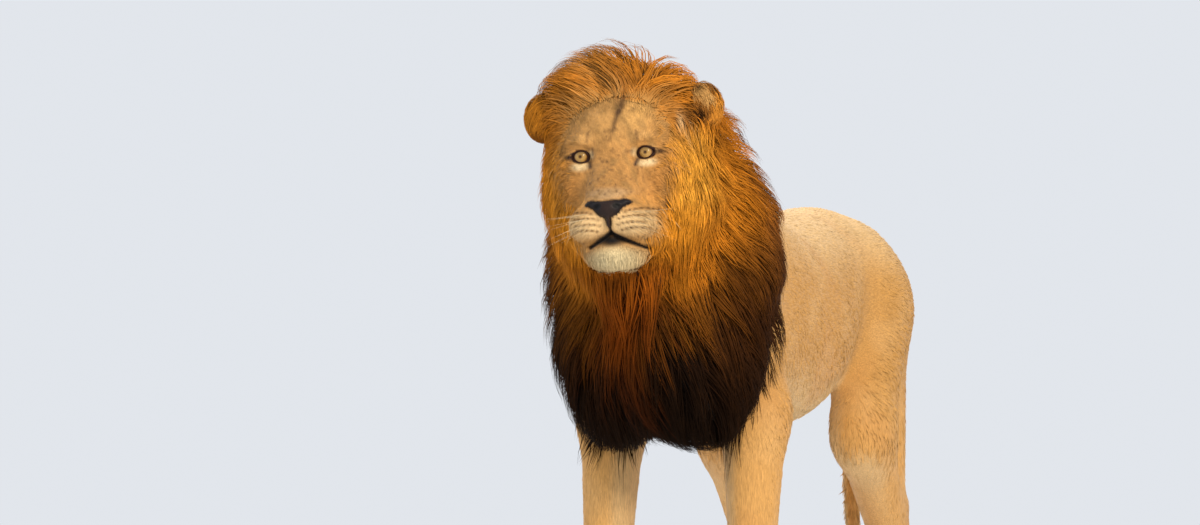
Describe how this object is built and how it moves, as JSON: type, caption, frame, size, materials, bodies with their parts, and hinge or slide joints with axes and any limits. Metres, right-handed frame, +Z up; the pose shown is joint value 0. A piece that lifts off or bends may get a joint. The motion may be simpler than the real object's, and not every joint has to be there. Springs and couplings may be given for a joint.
{
  "type": "lion",
  "caption": "Adult male lion standing on all its paws, head raised and turned slightly to its left, with a full mane and a tufted tail.",
  "frame": {"origin": "centre of the lion's whole outline, on the floor that its paws stand on", "axes": "+Y from the nose towards the tail along the spine, +X to the lion's own left, +Z up"},
  "size_m": [0.5061, 1.9596, 1.3891],
  "materials": {
    "coat": "short tawny fur, paler under the belly and inside the legs",
    "mane": "long hair, golden orange round the face and dark brown on the neck and chest",
    "nose": "bare dark skin, slightly moist",
    "eye": "clear and wet, amber iris with a small round pupil"
  },
  "bodies": {
    "root": {"torso": "coat", "neck": "mane", "head": "coat", "nose": "nose", "eye_left": "eye", "eye_right": "eye", "ear_left": "coat", "ear_right": "coat", "foreleg_left": "coat", "foreleg_right": "coat", "hindleg_left": "coat", "hindleg_right": "coat", "paw_fore_left": "coat", "paw_fore_right": "coat", "paw_hind_left": "coat", "paw_hind_right": "coat", "tail": "coat", "tail_tuft": "mane"}
  },
  "joints": []
}
